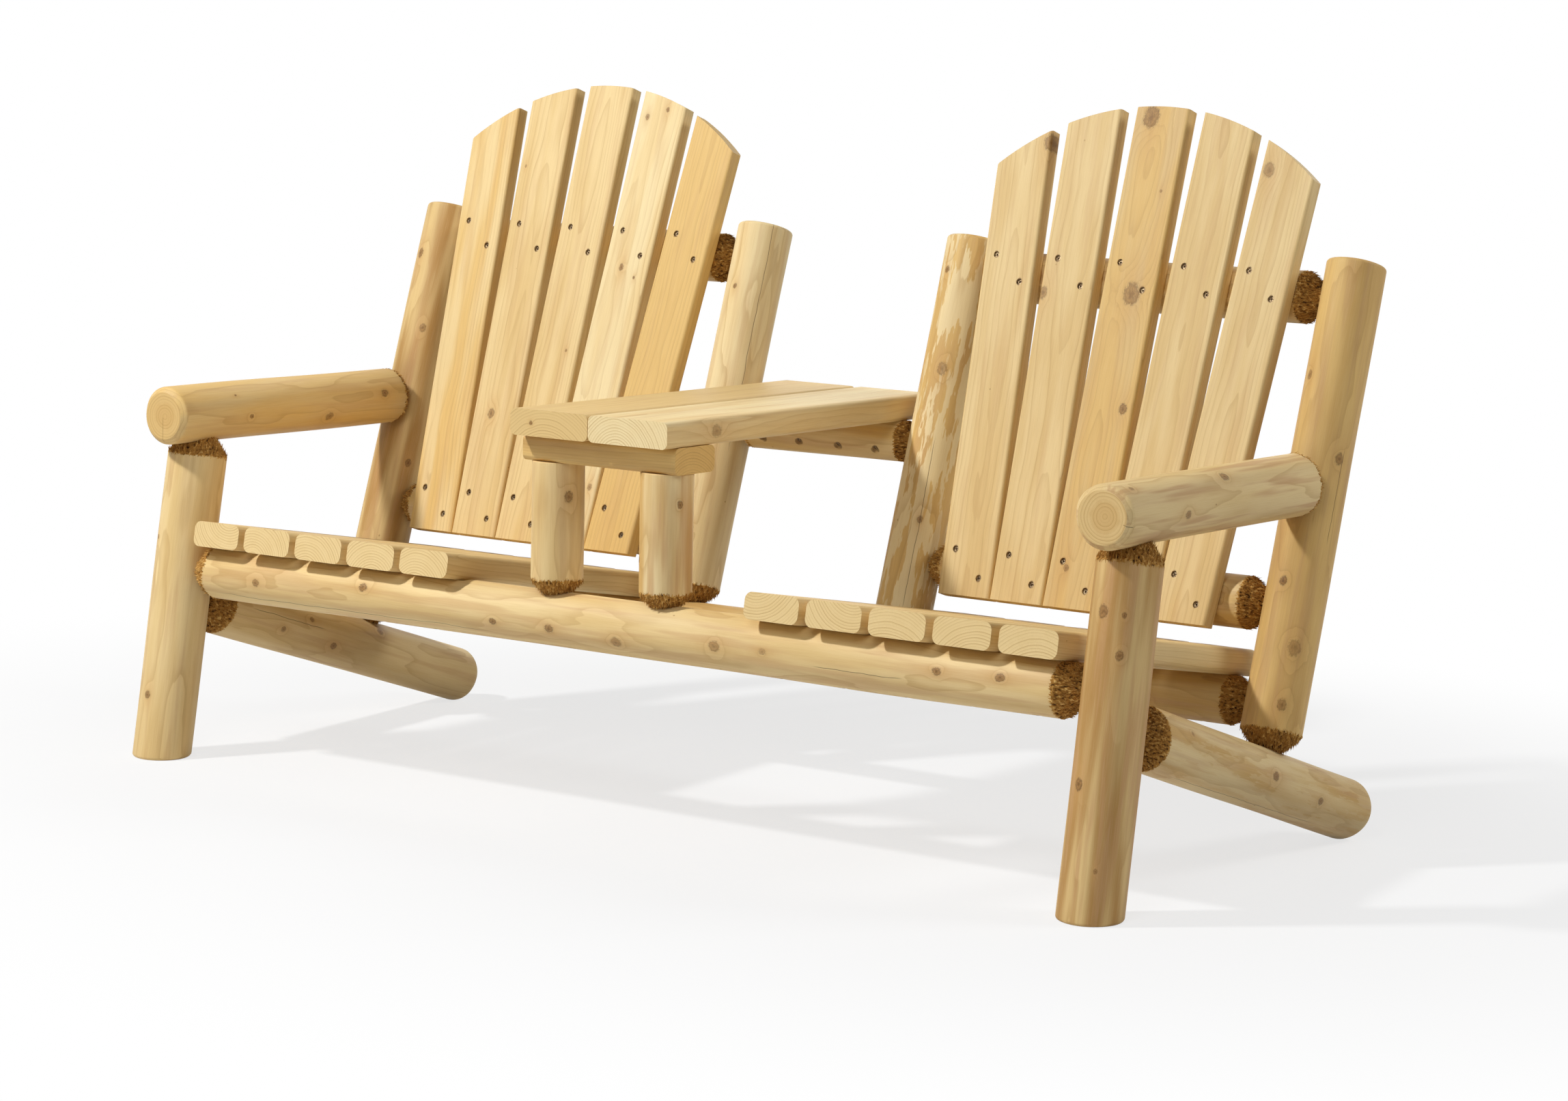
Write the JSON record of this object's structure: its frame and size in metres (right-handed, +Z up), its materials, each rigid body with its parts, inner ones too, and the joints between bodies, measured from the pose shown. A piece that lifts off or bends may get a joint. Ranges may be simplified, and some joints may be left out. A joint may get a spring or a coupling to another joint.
{
  "type": "rustic log bench",
  "caption": "Rustic double log bench: slatted seats and fanned backs side by side, joined by a small table, on peeled round logs with tenoned ends.",
  "frame": {"origin": "on the floor under the middle of the bench's overall box", "axes": "+X to the right of someone facing the bench, along its width; +Y from the front to the back; +Z up"},
  "size_m": [1.7018, 0.7365, 1.0033],
  "materials": {
    "peeled_log": "peeled and sanded white cedar, satin",
    "sawn_board": "planed white cedar, satin",
    "screw_steel": "dull zinc"
  },
  "bodies": {
    "root": {"front_seat_rail": "peeled_log", "front_seat_screws": "screw_steel", "left_arm": "peeled_log", "left_back_screws": "screw_steel", "left_back_slat_1": "sawn_board", "left_back_slat_2": "sawn_board", "left_back_slat_3": "sawn_board", "left_back_slat_4": "sawn_board", "left_back_slat_5": "sawn_board", "left_front_leg": "peeled_log", "left_inner_back_post": "peeled_log", "left_lower_back_rail": "peeled_log", "left_outer_back_post": "peeled_log", "left_seat_slat_1": "sawn_board", "left_seat_slat_2": "sawn_board", "left_seat_slat_3": "sawn_board", "left_seat_slat_4": "sawn_board", "left_seat_slat_5": "sawn_board", "left_side_rail": "peeled_log", "left_table_plank": "sawn_board", "left_table_post": "peeled_log", "left_upper_back_rail": "peeled_log", "rear_seat_rail": "peeled_log", "rear_seat_screws": "screw_steel", "right_arm": "peeled_log", "right_back_screws": "screw_steel", "right_back_slat_1": "sawn_board", "right_back_slat_2": "sawn_board", "right_back_slat_3": "sawn_board", "right_back_slat_4": "sawn_board", "right_back_slat_5": "sawn_board", "right_front_leg": "peeled_log", "right_inner_back_post": "peeled_log", "right_lower_back_rail": "peeled_log", "right_outer_back_post": "peeled_log", "right_seat_slat_1": "sawn_board", "right_seat_slat_2": "sawn_board", "right_seat_slat_3": "sawn_board", "right_seat_slat_4": "sawn_board", "right_seat_slat_5": "sawn_board", "right_side_rail": "peeled_log", "right_table_plank": "sawn_board", "right_table_post": "peeled_log", "right_upper_back_rail": "peeled_log", "table_board_screws": "screw_steel", "table_cross_board": "sawn_board", "table_log_screws": "screw_steel", "table_post_screws": "screw_steel", "table_rear_log": "peeled_log"}
  },
  "joints": []
}
